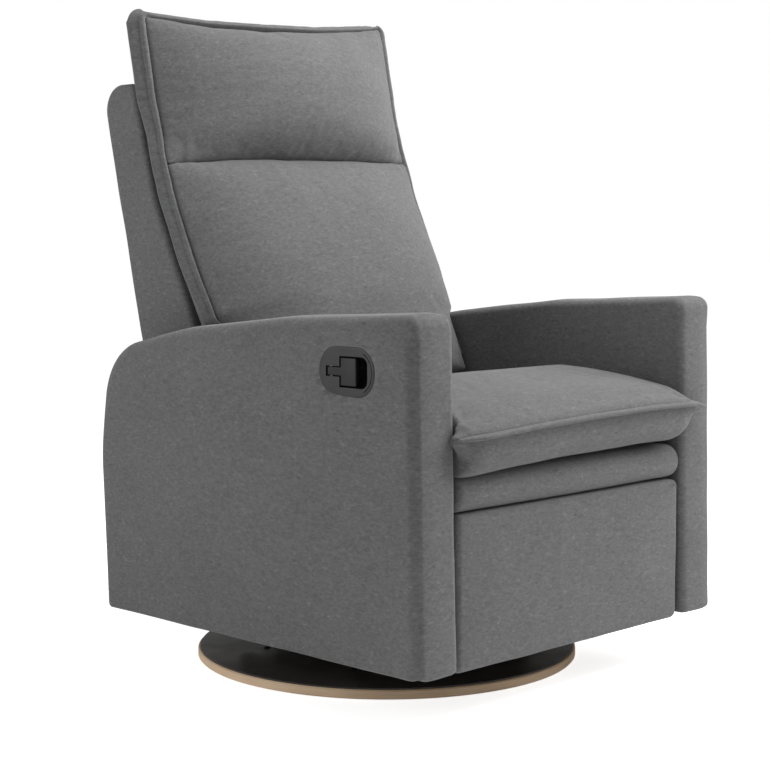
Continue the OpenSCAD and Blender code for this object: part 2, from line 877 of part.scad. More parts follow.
module footrest_upper_links() {
    color(dark_steel_colour) both_sides() slab_x(upper_link_x - foot_link_t, upper_link_x)
        link_outline(foot_pivot, knee, foot_link_w, foot_pin_r, foot_pin_r + run_gap);
}

// Shaft that carries the footrest's brackets, in line with the pivots while folded
module footrest_end_shaft() {
    thick_half_l = foot_bracket_x - foot_link_t - shaft_gap;
    rim = 2;
    color(zinc_colour) union() {
        pin_x(-upper_link_x, upper_link_x, foot_pin_r, foot_pivot_y, foot_pivot_z);
        pin_x(-thick_half_l, thick_half_l, foot_pin_r + rim, foot_pivot_y, foot_pivot_z);
    }
}

module footrest_brackets() {
    board_back_y = foot_board_y + foot_board_t;
    eye_r = 12;
    arm_low = [foot_pivot_y - 10, 230];
    arm_low_z = 170;
    flange_w = 26;
    flange_t = 3;
    flange_z = [180, 290];
    outer_x = foot_bracket_x - foot_link_t;
    color(dark_steel_colour) both_sides() {
        difference() {
            union() {
                slab_x(outer_x, foot_bracket_x) polygon([
                    [foot_pivot_y, foot_pivot_z + eye_r], [board_back_y, foot_pivot_z + eye_r],
                    [board_back_y, arm_low_z], arm_low]);
                pin_x(outer_x, foot_bracket_x, eye_r, foot_pivot_y, foot_pivot_z);
            }
            pin_x(outer_x - 1, foot_bracket_x + 1, foot_pin_r + run_gap,
                foot_pivot_y, foot_pivot_z);
        }
        block([outer_x - flange_w, board_back_y, flange_z[0]],
            [outer_x, board_back_y + flange_t, flange_z[1]]);
    }
}

module footrest_board() {
    side_inset = 10;
    top_inset = 8;
    color(frame_wood_colour)
        block([-foot_half_w + side_inset, foot_board_y, foot_bottom_z + side_inset],
            [foot_half_w - side_inset, foot_board_y + foot_board_t, foot_top_z - top_inset]);
}

module footrest_pad() {
    edge_r = 14;
    side_t = 12;
    color(fabric_colour) hull() {
        block([-foot_half_w, foot_board_y - side_t, foot_bottom_z],
            [foot_half_w, foot_board_y, foot_top_z]);
        block([-foot_half_w + edge_r, foot_front_y, foot_bottom_z + edge_r],
            [foot_half_w - edge_r, foot_board_y, foot_top_z - edge_r]);
    }
}

floor_felt();
base_disc();
base_cover_plate();
base_screws();
lower_bearing_plate();
bearing_cage();
bearing_balls();
swivel_bolt();
upper_bearing_plate();
glider_cross_bars();
glider_side_bars();
swing_plates();
upper_pivot_pins();
front_swing_links();
rear_swing_links();
glide_rails();
lower_pivot_pins();
front_cross_beam();
rear_cross_beam();
arm_panel_left();
arm_panel_right();
arm_front_posts();
arm_rear_posts();
arm_top_boards();
arm_pad_left();
arm_pad_right();
side_rails();
mechanism_plate_left();
mechanism_plate_right();
mechanism_bolts();
front_rail();
front_roll();
rear_panel();
footrest_pivot_pins();
back_pivot_pins();
handle_cup();
handle_pin();
release_cable();
seat_side_rails();
seat_cross_rails();
seat_springs();
seat_cushion();
back_stiles();
back_rails();
back_brackets();
back_shell();
back_cushion();
head_pillow();
handle_lever();
footrest_lower_links();
footrest_knee_shaft();
footrest_upper_links();
footrest_end_shaft();
footrest_brackets();
footrest_board();
footrest_pad();
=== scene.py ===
import json
import math

import bmesh
import bpy
import numpy as np
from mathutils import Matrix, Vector, noise


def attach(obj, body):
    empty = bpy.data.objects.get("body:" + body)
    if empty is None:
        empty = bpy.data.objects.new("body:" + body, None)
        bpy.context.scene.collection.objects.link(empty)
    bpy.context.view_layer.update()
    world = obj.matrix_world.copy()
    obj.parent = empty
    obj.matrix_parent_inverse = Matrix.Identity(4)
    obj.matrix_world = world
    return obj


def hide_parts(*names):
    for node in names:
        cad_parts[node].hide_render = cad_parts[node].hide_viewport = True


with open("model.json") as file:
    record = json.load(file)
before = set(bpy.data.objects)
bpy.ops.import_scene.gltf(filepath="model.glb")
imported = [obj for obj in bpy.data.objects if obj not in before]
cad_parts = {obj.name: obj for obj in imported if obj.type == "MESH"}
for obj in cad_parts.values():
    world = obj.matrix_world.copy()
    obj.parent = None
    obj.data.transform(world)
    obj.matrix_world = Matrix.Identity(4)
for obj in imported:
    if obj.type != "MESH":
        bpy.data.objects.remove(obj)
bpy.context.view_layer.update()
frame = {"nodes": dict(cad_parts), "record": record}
scene = bpy.context.scene


# ---------------------------------------------------------------- camera, light and floor

camera = bpy.data.objects.new("camera", bpy.data.cameras.new("camera"))
scene.collection.objects.link(camera)
camera.location = (-2.1351, -2.1020, 0.7322)
view = Vector((-0.0043, 0.0, 0.4644)) - camera.location
camera.rotation_euler = view.to_track_quat("-Z", "Y").to_euler()
camera.data.sensor_width = 36.0
camera.data.lens = 81.92
scene.camera = camera
scene.view_settings.view_transform = "Standard"


def area_light(name, place, target, size, power):
    """White square light at place, aimed at target, with sides in metres and power in watts."""
    light = bpy.data.lights.new(name, "AREA")
    light.shape = "SQUARE"
    light.size = size
    light.energy = power
    obj = bpy.data.objects.new(name, light)
    obj.location = place
    obj.rotation_euler = (Vector(target) - Vector(place)).to_track_quat("-Z", "Y").to_euler()
    scene.collection.objects.link(obj)


area_light("key_light", (0.9, -1.5, 2.2), (0.0, 0.1, 0.8), 0.9, 15)
area_light("right_light", (2.5, -1.6, 1.7), (0.0, 0.0, 0.5), 1.2, 42)
area_light("side_light", (-2.9, 1.6, 1.3), (-0.3, 0.0, 0.5), 1.6, 33)
area_light("top_light", (0.5, -0.6, 2.7), (0.0, 0.0, 0.6), 1.4, 38)
# Strength of the white world as light on the chair, and the floor's glow as light and as the camera sees it
AMBIENT = 0.26
FLOOR_GLOW, FLOOR_SEEN = 0.05, 0.80

world = bpy.data.worlds.new("studio")
world.use_nodes = True
tree = world.node_tree
background = tree.nodes["Background"]
background.inputs["Color"].default_value = (1.0, 1.0, 1.0, 1.0)
# The backdrop is seen at full white, and lights the object less than that
seen = tree.nodes.new("ShaderNodeLightPath")
strength = tree.nodes.new("ShaderNodeMapRange")
strength.inputs["To Min"].default_value = AMBIENT
strength.inputs["To Max"].default_value = 1.0
tree.links.new(seen.outputs["Is Camera Ray"], strength.inputs["Value"])
tree.links.new(strength.outputs["Result"], background.inputs["Strength"])
scene.world = world


# ---------------------------------------------------------------- materials

def build_material(name, rough, **sockets):
    """Principled material, its tree and its shader; sockets are its inputs, with _ for a space."""
    mat = bpy.data.materials.new(name)
    mat.use_nodes = True
    shader = mat.node_tree.nodes["Principled BSDF"]
    shader.inputs["Roughness"].default_value = rough
    for key, value in sockets.items():
        shader.inputs[key.replace("_", " ")].default_value = value
    return mat, mat.node_tree, shader


def node(tree, kind, **settings):
    """New shader node; each setting is an input's value or a property."""
    made = tree.nodes.new(kind)
    for key, value in settings.items():
        if key in made.inputs:
            made.inputs[key].default_value = value
        else:
            setattr(made, key, value)
    return made


def stretched(tree, scale):
    """Object coordinates times scale."""
    coord = node(tree, "ShaderNodeTexCoord")
    mapping = node(tree, "ShaderNodeMapping", Scale=scale)
    tree.links.new(coord.outputs["Object"], mapping.inputs["Vector"])
    return mapping.outputs["Vector"]


def noise_of(tree, scale, detail=2.0, rough=0.5):
    made = node(tree, "ShaderNodeTexNoise", Scale=1.0, Detail=detail, Roughness=rough)
    tree.links.new(stretched(tree, scale), made.inputs["Vector"])
    return made.outputs["Fac"]


def ramp(tree, source, low, high, c0, c1):
    """Maps low..high to c0..c1."""
    made = node(tree, "ShaderNodeMapRange", clamp=True)
    made.inputs["From Min"].default_value = low
    made.inputs["From Max"].default_value = high
    made.inputs["To Min"].default_value = c0
    made.inputs["To Max"].default_value = c1
    tree.links.new(source, made.inputs["Value"])
    return made.outputs["Result"]


def maths(tree, operation, a, b):
    made = node(tree, "ShaderNodeMath", operation=operation)
    for socket, value in zip(made.inputs, (a, b)):
        if isinstance(value, (int, float)):
            socket.default_value = value
        else:
            tree.links.new(value, socket)
    return made.outputs["Value"]


def tinted(tree, shader, value, tint):
    """Colour from one brightness value, times a fixed tint."""
    mix = node(tree, "ShaderNodeCombineColor")
    for channel, factor in zip(("Red", "Green", "Blue"), tint):
        tree.links.new(maths(tree, "MULTIPLY", value, factor), mix.inputs[channel])
    tree.links.new(mix.outputs["Color"], shader.inputs["Base Color"])


def bumped(tree, shader, height, strength, distance):
    bump = node(tree, "ShaderNodeBump", Strength=strength, Distance=distance)
    tree.links.new(height, bump.inputs["Height"])
    tree.links.new(bump.outputs["Normal"], shader.inputs["Normal"])


def waves(tree, scale, direction, period):
    made = node(tree, "ShaderNodeTexWave", bands_direction=direction, Scale=period, Distortion=1.2,
                Detail=1.0)
    tree.links.new(stretched(tree, scale), made.inputs["Vector"])
    return made.outputs["Fac"]


FABRIC_LEVEL = 0.155
FABRIC_TINT = (1.0, 1.0, 1.015)


def fabric(name, across, up):
    """Heathered woven upholstery. across and up scale the slubs, so that they run sideways."""
    mat, tree, shader = build_material(name, 0.92, Sheen_Weight=0.25, Sheen_Roughness=0.45,
                                       Specular_IOR_Level=0.18)
    blotch = ramp(tree, noise_of(tree, (9, 9, 9), 3.0), 0.3, 0.7, 0.96, 1.04)
    mottle = ramp(tree, noise_of(tree, tuple(130 * s for s in across), 2.0, 0.7), 0.30, 0.70, 0.91, 1.09)
    blotch = maths(tree, "MULTIPLY", blotch, mottle)
    heather = ramp(tree, noise_of(tree, tuple(310 * s for s in across), 3.0, 0.6), 0.28, 0.72, 0.80, 1.20)
    yarn = ramp(tree, noise_of(tree, tuple(900 * s for s in up), 2.0, 0.6), 0.3, 0.7, 0.86, 1.14)
    slub = ramp(tree, noise_of(tree, tuple(150 * s for s in across), 1.0), 0.63, 0.76, 0.0, 0.24)
    dark = ramp(tree, noise_of(tree, tuple(131 * s for s in across), 1.0), 0.64, 0.76, 0.0, 0.17)
    value = maths(tree, "MULTIPLY", maths(tree, "MULTIPLY", heather, yarn), blotch)
    value = maths(tree, "SUBTRACT", maths(tree, "ADD", value, slub), dark)
    tinted(tree, shader, maths(tree, "MULTIPLY", value, FABRIC_LEVEL), FABRIC_TINT)
    weave = maths(tree, "MULTIPLY", waves(tree, (1, 1, 1), "DIAGONAL", 260.0),
                  waves(tree, (-1, 1, 1), "DIAGONAL", 260.0))
    height = maths(tree, "ADD", maths(tree, "MULTIPLY", weave, 0.5), heather)
    bumped(tree, shader, height, 0.35, 0.0006)
    rough = ramp(tree, heather, 0.8, 1.2, 0.86, 0.97)
    tree.links.new(rough, shader.inputs["Roughness"])
    return mat


def wood(name, light, dark, grain):
    """Clear-finished wood; grain is the scale of its fibre along each axis."""
    mat, tree, shader = build_material(name, 0.5, Specular_IOR_Level=0.35)
    fibre = noise_of(tree, grain, 4.0, 0.6)
    patch = noise_of(tree, (14, 14, 14), 2.0)
    mix = node(tree, "ShaderNodeMix", data_type="RGBA")
    mix.inputs[6].default_value = (*dark, 1.0)
    mix.inputs[7].default_value = (*light, 1.0)
    tree.links.new(ramp(tree, maths(tree, "ADD", fibre, maths(tree, "MULTIPLY", patch, 0.5)),
                        0.5, 1.0, 0.0, 1.0), mix.inputs[0])
    tree.links.new(mix.outputs[2], shader.inputs["Base Color"])
    tree.links.new(ramp(tree, fibre, 0.3, 0.7, 0.42, 0.6), shader.inputs["Roughness"])
    bumped(tree, shader, fibre, 0.15, 0.0004)
    return mat


def coated(name, colour, rough, metal=0.0, spread=0.12, grain=700.0, bump=0.1):
    """Painted, moulded or plated surface with fine grain and slight wear in its gloss."""
    mat, tree, shader = build_material(name, rough, Metallic=metal)
    fine = noise_of(tree, (grain, grain, grain), 2.0)
    broad = noise_of(tree, (22, 22, 22), 3.0)
    value = ramp(tree, maths(tree, "ADD", maths(tree, "MULTIPLY", fine, 0.4), broad), 0.4, 1.0,
                 1.0 - spread, 1.0 + spread)
    tinted(tree, shader, value, colour)
    tree.links.new(ramp(tree, broad, 0.3, 0.7, rough - 0.06, rough + 0.06), shader.inputs["Roughness"])
    bumped(tree, shader, fine, bump, 0.0002)
    return mat


cloth = fabric("upholstery_front", (0.45, 1.0, 1.0), (0.8, 1.0, 1.0))
cloth_side = fabric("upholstery_side", (0.45, 0.45, 1.0), (0.8, 0.8, 1.0))
plastic = coated("black_plastic", (0.019, 0.019, 0.020), 0.5, spread=0.1, grain=1500.0, bump=0.2)
# This darker copy of the bezel's black plastic is painted shade on the lever; the lever is the same plastic
# as the bezel.
lever_plastic_painted_shade = coated("lever_plastic_painted_shade", (0.011, 0.011, 0.012), 0.6, spread=0.1, grain=1500.0, bump=0.2)
# Near-black for the walls cut into the handle cup, its slot and groove: the black plastic darkened further,
# as painted shade in these recesses.
cup_painted_shade = coated("cup_inside_painted_shade", (0.004, 0.004, 0.004), 0.6)
finishes = {
    "upholstery": cloth,
    "base_wood": wood("base_wood", (0.97, 0.73, 0.50), (0.80, 0.585, 0.39), (18, 18, 420)),
    "cover_plate": coated("cover_plate", (0.060, 0.052, 0.046), 0.34, spread=0.15, grain=500.0),
    "felt": coated("felt", (0.06, 0.06, 0.062), 0.95, spread=0.2, bump=0.6),
    "frame_wood": wood("frame_wood", (0.56, 0.42, 0.27), (0.42, 0.29, 0.17), (160, 12, 160)),
    "dark_steel": coated("dark_steel", (0.028, 0.028, 0.030), 0.48, metal=0.3, bump=0.25),
    "zinc_steel": coated("zinc_steel", (0.55, 0.56, 0.57), 0.34, metal=1.0),
    "nylon": coated("nylon", (0.62, 0.60, 0.52), 0.5),
    "black_plastic": plastic,
}
for part in frame["record"]["subparts"]:
    mesh = frame["nodes"][part["node"]].data
    mesh.materials.clear()
    mesh.materials.append(finishes[part["material_slot"]])


# ---------------------------------------------------------------- mesh helpers

def make_object(name, verts, faces, material, smooth=True):
    mesh = bpy.data.meshes.new(name)
    mesh.from_pydata([tuple(v) for v in verts], [], faces)
    obj = bpy.data.objects.new(name, mesh)
    scene.collection.objects.link(obj)
    work = bmesh.new()
    work.from_mesh(mesh)
    bmesh.ops.remove_doubles(work, verts=work.verts, dist=1e-6)
    bmesh.ops.recalc_face_normals(work, faces=work.faces)
    work.to_mesh(mesh)
    work.free()
    for face in mesh.polygons:
        face.use_smooth = smooth
    mesh.materials.append(material)
    return obj


def loft(name, rings, material):
    """Closed skin over closed rings of the same length, with a flat face at each end."""
    count = len(rings[0])
    verts = [p for ring in rings for p in ring]
    faces = []
    for i in range(len(rings) - 1):
        for k in range(count):
            a, b = i * count + k, i * count + (k + 1) % count
            faces.append((a, a + count, b + count, b))
    faces.append(tuple(range(count)))
    faces.append(tuple((len(rings) - 1) * count + k for k in range(count - 1, -1, -1)))
    return make_object(name, verts, faces, material)


def arc(cx, cy, r, a0, a1, n):
    return [(cx + r * math.cos(math.radians(a0 + (a1 - a0) * i / n)),
             cy + r * math.sin(math.radians(a0 + (a1 - a0) * i / n))) for i in range(n + 1)]


def cross_2d(a, b):
    return a[0] * b[1] - a[1] * b[0]


LEAST_RADIUS = 0.0025


def ring_of(corners, inset, step):
    """Closed outline of rounded corners (u, v, radius, share). Each side is pulled in by inset times its
    share, which belongs to the side that leaves that corner."""
    spots = [np.array(c[:2], float) for c in corners]
    count = len(spots)
    turn = math.copysign(1, sum(cross_2d(spots[i - 1], spots[i]) for i in range(count)))
    sides = []
    for i in range(count):
        along = spots[(i + 1) % count] - spots[i]
        length = np.linalg.norm(along)
        along = along / length
        inward = turn * np.array([-along[1], along[0]])
        sides.append((spots[i] + inward * inset * corners[i][3], along, max(2, int(length / step))))
    bends = []
    for i in range(count):
        (p, d, _), (q, e, _) = sides[i - 1], sides[i]
        angle = math.atan2(cross_2d(d, e), float(d @ e))
        corner = p + d * cross_2d(q - p, e) / cross_2d(d, e)
        radius = max(corners[i][2] - inset * min(corners[i - 1][3], corners[i][3]), LEAST_RADIUS)
        reach = radius * abs(math.tan(angle / 2))
        start = corner - d * reach
        centre = start + math.copysign(radius, angle) * np.array([-d[1], d[0]])
        bends.append((start, centre, angle, max(3, int(corners[i][2] * abs(angle) / step * 1.6) + 3)))
    ring = []
    for i in range(count):
        start, centre, angle, steps = bends[i]
        arm = start - centre
        for k in range(steps + 1):
            c, s = math.cos(angle * k / steps), math.sin(angle * k / steps)
            ring.append(centre + np.array([arm[0] * c - arm[1] * s, arm[0] * s + arm[1] * c]))
        last, following = ring[-1], bends[(i + 1) % count][0]
        for t in np.linspace(0, 1, sides[i][2] + 1)[1:-1]:
            ring.append(last + (following - last) * t)
    return np.array(ring)


def padded_slab(name, corners, place, profile, material, step, fill_rings):
    """Upholstered panel: rings of the outline, each pulled in and set at a height, with filled faces.

    profile is (inset, height) from the back face to the front face. corners may depend on the height."""
    def outline(distance, height):
        return ring_of(corners(height) if callable(corners) else corners, distance, step)
    rings = []
    first, last = outline(*profile[0]), outline(*profile[-1])
    inmost, outmost = 0.02, 0.93
    for t in np.linspace(inmost, outmost, fill_rings):
        rings.append([place(p, profile[0][1]) for p in first.mean(0) + (first - first.mean(0)) * t])
    for distance, height in profile:
        rings.append([place(p, height) for p in outline(distance, height)])
    for t in np.linspace(outmost, inmost, fill_rings):
        rings.append([place(p, profile[-1][1]) for p in last.mean(0) + (last - last.mean(0)) * t])
    return loft(name, rings, material)


def quarter(radius, start, end, height, up):
    """(inset, height) steps of a rounded edge; up is 1 where it closes towards the front face."""
    n = 6
    steps = []
    for i in range(n + 1):
        angle = math.radians(start + (end - start) * i / n)
        steps.append((radius * (1 - math.sin(angle)), height + up * radius * (1 - math.cos(angle))))
    return steps


def box_line(half_w, low, high, radius):
    """Corners of an upright rectangle, for ring_of."""
    return [(-half_w, low, radius, 1), (half_w, low, radius, 1), (half_w, high, radius, 1),
            (-half_w, high, radius, 1)]


def displace(obj, move):
    """Moves each vertex by move(place, normal), in metres."""
    mesh = obj.data
    normals = [v.normal.copy() for v in mesh.vertices]
    for vert, normal in zip(mesh.vertices, normals):
        vert.co += move(vert.co, normal)
    mesh.update()


def wobble(place, size, seed):
    """Smooth noise from -1 to 1, with bumps of about that size in metres."""
    return noise.noise(Vector(place) / size + Vector((seed, seed * 1.7, seed * 0.6)))


def smooth01(value, low, high):
    """Smooth step from 0 at low to 1 at high."""
    t = min(1.0, max(0.0, (value - low) / (high - low)))
    return t * t * (3 - 2 * t)


def table(points):
    """Function that interpolates between (x, y) points."""
    xs, ys = zip(*points)
    return lambda t: float(np.interp(t, xs, ys))


def crown(value, power, root):
    """1 at 0 and 0 at -1 and 1; a higher power is flatter on top."""
    return max(0.0, 1 - abs(value) ** power) ** root


def apply_modifiers(obj):
    bpy.context.view_layer.update()
    graph = bpy.context.evaluated_depsgraph_get()
    mesh = bpy.data.meshes.new_from_object(obj.evaluated_get(graph))
    obj.modifiers.clear()
    obj.data = mesh


def cut(obj, *tools):
    """Cuts each tool out of the piece and removes the tool."""
    for tool in tools:
        mod = obj.modifiers.new("cut", "BOOLEAN")
        mod.operation = "DIFFERENCE"
        mod.solver = "EXACT"
        mod.object = tool
        apply_modifiers(obj)
        bpy.data.objects.remove(tool)


def prism(name, outline, x0, x1, material):
    """Flat-sided solid with a (y, z) outline, from x0 to x1."""
    count = len(outline)
    verts = [(x, y, z) for x in (x0, x1) for y, z in outline]
    faces = [(k, (k + 1) % count, count + (k + 1) % count, count + k) for k in range(count)]
    faces += [tuple(range(count)), tuple(range(2 * count - 1, count - 1, -1))]
    return make_object(name, verts, faces, material, smooth=False)


def tube(name, path, radii, material):
    """Round welt along a path; radii is (across, up), and its ends taper."""
    sides = 16
    path = [Vector(p) for p in path]
    rings = []
    for i, point in enumerate(path):
        ahead = (path[min(i + 1, len(path) - 1)] - path[max(i - 1, 0)]).normalized()
        side = ahead.cross(Vector((0, 0, 1))).normalized()
        up = side.cross(ahead).normalized()
        ends = min(i, len(path) - 1 - i) / 4
        taper = math.sqrt(min(1.0, 0.08 + ends))
        rings.append([point + taper * (radii[0] * math.cos(2 * math.pi * k / sides) * side
                                       + radii[1] * math.sin(2 * math.pi * k / sides) * up)
                      for k in range(sides)])
    return loft(name, rings, material)


def round_edges(obj, width):
    mod = obj.modifiers.new("edges", "BEVEL")
    mod.width = width
    mod.segments = 3
    mod.limit_method = "ANGLE"
    mod.angle_limit = math.radians(40)
    apply_modifiers(obj)
    for face in obj.data.polygons:
        face.use_smooth = True
    obj.data.set_sharp_from_angle(angle=math.radians(50))


def finish_pad(obj, body, fill, *nodes):
    """Puts a padded piece on its body, in place of the CAD nodes it covers."""
    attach(obj, body)
    if nodes:
        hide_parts(*nodes)


def remesh(obj, voxel):
    mod = obj.modifiers.new("remesh", "REMESH")
    mod.mode = "VOXEL"
    mod.voxel_size = voxel
    mod.use_smooth_shade = True
    apply_modifiers(obj)


SIM_FRAMES = 20


def simulate(jobs):
    """Fills the covers out as cloth round their stuffing. Each job is (piece, pressure, cap, extra cloth,
    held), where held(place) is 1 at a sewn edge that stays, and no point moves further than cap."""
    starts = []
    for obj, pressure, _, extra, held in jobs:
        starts.append([v.co.copy() for v in obj.data.vertices])
        group = obj.vertex_groups.new(name="sewn")
        for vert in obj.data.vertices:
            weight = held(vert.co)
            if weight > 0:
                group.add([vert.index], weight, "REPLACE")
        cloth_mod = obj.modifiers.new("cloth", "CLOTH")
        settings = cloth_mod.settings
        settings.quality = 4
        settings.mass = 0.3
        settings.tension_stiffness = 18
        settings.compression_stiffness = 18
        settings.shear_stiffness = 8
        settings.bending_stiffness = 0.6
        settings.use_pressure = True
        settings.uniform_pressure_force = pressure
        settings.effector_weights.gravity = 0.0
        settings.shrink_min = -extra
        settings.vertex_group_mass = "sewn"
        cloth_mod.collision_settings.use_collision = False
        cloth_mod.point_cache.frame_start = 1
        cloth_mod.point_cache.frame_end = SIM_FRAMES
    for number in range(1, SIM_FRAMES + 1):
        scene.frame_set(number)
    for (obj, _, cap, _, _), start in zip(jobs, starts):
        apply_modifiers(obj)
        obj.vertex_groups.clear()
        for vert, place in zip(obj.data.vertices, start):
            shift = vert.co - place
            if shift.length > cap:
                vert.co = place + shift * (cap / shift.length)
        smooth = obj.modifiers.new("smooth", "SMOOTH")
        smooth.factor = 0.5
        smooth.iterations = 3
        finer = obj.modifiers.new("finer", "SUBSURF")
        finer.levels = 1
        finer.render_levels = 1
        apply_modifiers(obj)
        for face in obj.data.polygons:
            face.use_smooth = True
    scene.frame_set(1)


# ---------------------------------------------------------------- arms

# Inner face and thickness of an arm, radii of its outer and inner edges, and its middle across
ARM_IN, ARM_T, EDGE_OUT, EDGE_IN = 0.279, 0.0885, 0.018, 0.015
ARM_HALF = 0.043
# Front foot of an arm, how far the front leans back for each metre up, and the place of the seam's pull
ARM_FRONT, ARM_FOOT, ARM_LEAN = -0.4235, 0.088, 0.0239
PULL_Y, PULL_Z = -0.398, 0.580
GROOVE = 0.0034


def arm_line(height, lift, inner_top, outer_top):
    """Side view of an arm, its top raised by lift. The shares set how round its inner and outer edges are."""
    front, top = (1.0, outer_top) if height > ARM_HALF else (0.75, inner_top)
    return [(0.3150, 0.086, 0.010, 0.30), (ARM_FRONT, 0.086, 0.008, front),
            (-0.4110, 0.6140 + lift, 0.020, top), (-0.128, 0.5995 + lift, 0.60, top),
            (0.112, 0.5735 + lift, 0.60, top),
            (0.3065, 0.5300 + lift, 0.105, 1.0), (0.3290, 0.350, 0.30, 1.0)]


def arm_cover(name, side, lift, inner_top, outer_top):
    profile = quarter(EDGE_IN, 0, 90, 0.0, 1)
    profile += [(-0.0006, 0.026), (-0.0012, 0.037), (-0.0014, 0.046), (-0.0012, 0.056), (-0.0006, 0.064)]
    edge_steps = 16
    for i in range(edge_steps + 1):
        angle = math.radians(90 * i / edge_steps)
        profile.append((EDGE_OUT * (1 - math.cos(angle)), ARM_T - EDGE_OUT + EDGE_OUT * math.sin(angle)))
    obj = padded_slab(name, lambda h: arm_line(h, lift, inner_top, outer_top),
                      lambda p, h: (side * (ARM_IN + h), p[0], p[1]), profile, cloth_side, step=0.006,
                      fill_rings=14)

    def shape(co, normal):
        x, y, z = abs(co.x), co.y, co.z
        bulge = 0.0010 * wobble(co, 0.09, 3 + side)
        outer = smooth01(x, ARM_IN + 0.05, ARM_IN + ARM_T)
        # Sewn seam up the outer front edge, which ends in a pull below the top
        lean = ARM_LEAN * (z - ARM_FOOT)
        across = ((y - ARM_FRONT - lean) - (ARM_IN + ARM_T - x)) / math.sqrt(2)
        on_edge = smooth01(x, ARM_IN + 0.060, ARM_IN + 0.068) * (1 - smooth01(y, -0.392, -0.380))
        below = 1 - smooth01(z, 0.560, 0.586)
        bulge -= GROOVE * on_edge * below * math.exp(-((across + 0.001) / 0.0070) ** 2)
        pull = math.hypot((y - PULL_Y) * 1.3, z - PULL_Z)
        bulge -= GROOVE * smooth01(x, ARM_IN + 0.060, ARM_IN + 0.078) * math.exp(-(pull / 0.011) ** 2)
        bulge += 0.0018 * outer * (1 - smooth01(abs(y + 0.06), 0.1, 0.3)) * math.sin(
            math.pi * min(1, max(0, (z - ARM_FOOT) / 0.5)))
        return normal * bulge

    displace(obj, shape)
    return obj


# The covers' tops differ: the left arm stands a little higher, and the right one is rounder
arm_left = arm_cover("arm_cover_left", 1, 0.005, 0.8, 1.0)
arm_right = arm_cover("arm_cover_right", -1, -0.002, 1.8, 1.5)


# ---------------------------------------------------------------- handle

# Middle of the handle cup, and the plane of its rim
CUP_Y, CUP_Z, CUP_X = -0.280, 0.524, -0.3685


def stadium(w, h):
    """Corners of the cup's long outline, w by h, for ring_of."""
    radius = h / 2 - 0.0005
    return [(CUP_Y + u * w / 2, CUP_Z + v * h / 2, radius, 1)
            for u, v in ((-1, -1), (1, -1), (1, 1), (-1, 1))]


def cup_line(points):
    return [(CUP_Y + u, CUP_Z + v) for u, v in points]


hole_line = ring_of(stadium(0.106, 0.062), 0, 0.003).tolist()
cut(arm_right, prism("cup_hole", hole_line, CUP_X - 0.0115, CUP_X + 0.0355, cloth_side))

bezel = padded_slab("handle_bezel", stadium(0.119, 0.078),
                    lambda p, h: (CUP_X + 0.0035 - h, p[0], p[1]),
                    [(0.006, -0.030), (0.0075, -0.002), (0.0, 0.0), (0.0, 0.0006), (0.0006, 0.0018),
                     (0.0018, 0.0028), (0.0034, 0.0034), (0.0050, 0.0035)],
                    plastic, step=0.003, fill_rings=2)
cavity = cup_line([(0.0145, -0.023), (0.0145, 0.023), (-0.0315, 0.023)]
                  + arc(-0.0315, 0.011, 0.012, 90, 180, 8) + arc(-0.0315, -0.011, 0.012, 180, 270, 8))
tab_slot = cup_line([(0.0135, -0.00775), (0.043, -0.00775), (0.043, 0.00775), (0.0135, 0.00775)])
crescent = cup_line(arc(-0.0205, 0.0, 0.0325, 118, 242, 16) + arc(-0.0205, 0.0, 0.0312, 242, 118, 16))
CUT_FROM = CUP_X - 0.01
# Each cut takes the tool's near-black colour, which is painted shade on the walls of the cup, slot and
# groove.
cut(bezel, prism("cavity", cavity, CUT_FROM, CUP_X + 0.028, cup_painted_shade),
    prism("tab_slot", tab_slot, CUT_FROM, CUP_X + 0.015, cup_painted_shade),
    prism("crescent", crescent, CUT_FROM, CUP_X + 0.003, cup_painted_shade))
bezel.data.set_sharp_from_angle(angle=math.radians(35))
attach(bezel, "carriage")
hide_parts("handle_cup")

tee = cup_line([(-0.0185, -0.0205), (0.013, -0.0205), (0.013, -0.00625), (0.0405, -0.00625),
                (0.0405, 0.00625), (0.013, 0.00625), (0.013, 0.0205), (-0.0185, 0.0205)])
lever = prism("pull_lever", tee, CUP_X + 0.001, CUP_X + 0.006, lever_plastic_painted_shade)
round_edges(lever, 0.0011)
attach(lever, "release_lever")
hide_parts("handle_lever")

finish_pad(arm_left, "carriage", 0.9, "arm_pad_left")
finish_pad(arm_right, "carriage", 0.9, "arm_pad_right")


# ---------------------------------------------------------------- front roll, footrest pad, rear panel

ROLL_W, ROLL_EDGE = 0.2725, 0.010
roll_line = [(-0.360, 0.318, 0.003, 1), (-0.418, 0.318, 0.0272, 1), (-0.418, 0.3735, 0.0272, 1),
             (-0.360, 0.3735, 0.003, 1)]
roll = padded_slab("front_roll_cover", roll_line, lambda p, h: (h, p[0], p[1]),
                   quarter(ROLL_EDGE, 0, 90, -ROLL_W, 1)
                   + [(-0.0004, -0.20), (-0.0010, -0.1), (-0.0012, 0.0), (-0.0010, 0.1), (-0.0004, 0.20)]
                   + quarter(ROLL_EDGE, 90, 0, ROLL_W, -1), cloth, step=0.005, fill_rings=3)
displace(roll, lambda co, n: n * 0.0013 * wobble((co.x, co.y * 0.4, co.z * 0.4), 0.045, 11))
finish_pad(roll, "carriage", 0.9, "front_roll")

rail_wrap = padded_slab("front_rail_wrap", box_line(0.272, 0.306, 0.372, 0.003),
                        lambda p, h: (p[0], -0.3365 - h, p[1]),
                        [(0.002, 0.0), (0.0, 0.002), (0.0, 0.018), (0.002, 0.0215)], cloth, step=0.012,
                        fill_rings=4)
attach(rail_wrap, "carriage")
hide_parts("front_rail")

